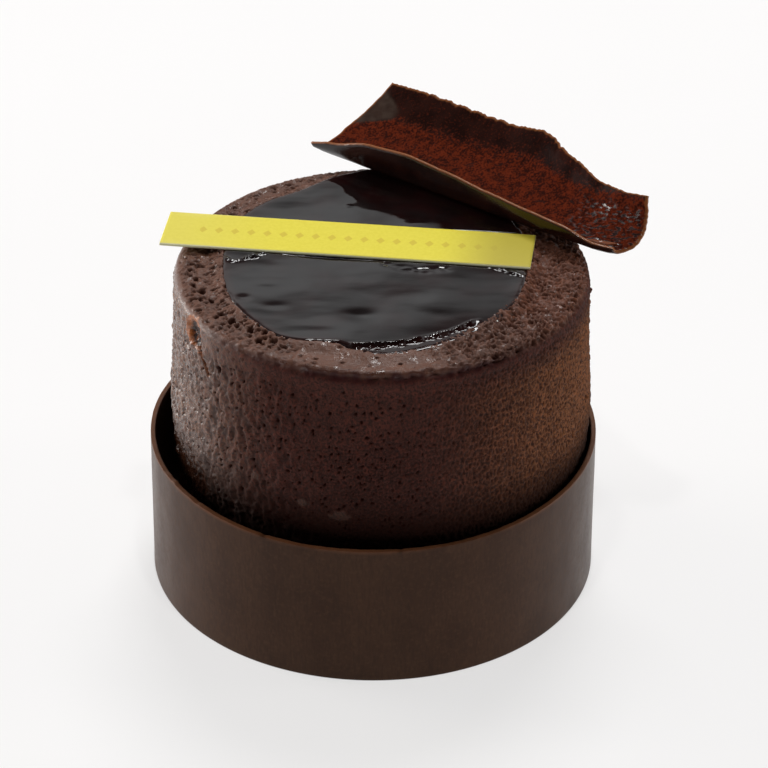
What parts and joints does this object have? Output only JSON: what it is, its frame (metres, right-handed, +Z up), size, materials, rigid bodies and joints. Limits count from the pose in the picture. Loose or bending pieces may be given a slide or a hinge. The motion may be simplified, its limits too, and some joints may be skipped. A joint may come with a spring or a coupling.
{
  "type": "individual black forest cake",
  "caption": "Small round chocolate mousse cake in a low chocolate band, topped with dark cherry glaze, a plain yellow label strip and a bent chocolate shard.",
  "frame": {"origin": "centre of the chocolate band's foot, on the surface the cake stands on", "axes": "+Z up; the label strip's length runs roughly along X; -Y is the side that faces the viewer"},
  "size_m": [0.0706, 0.0724, 0.0572],
  "materials": {
    "band_chocolate": "satin dark chocolate",
    "mousse": "pitted chocolate mousse, glossier at its left",
    "glaze": "wet dark cherry jelly",
    "label": "satin yellow card",
    "shard_chocolate": "cocoa-dusted inside, glossy outside"
  },
  "bodies": {
    "root": {"chocolate_band": "band_chocolate", "mousse_drum": "mousse", "cherry_glaze": "glaze", "label_strip": "label", "chocolate_shard": "shard_chocolate"}
  },
  "joints": []
}
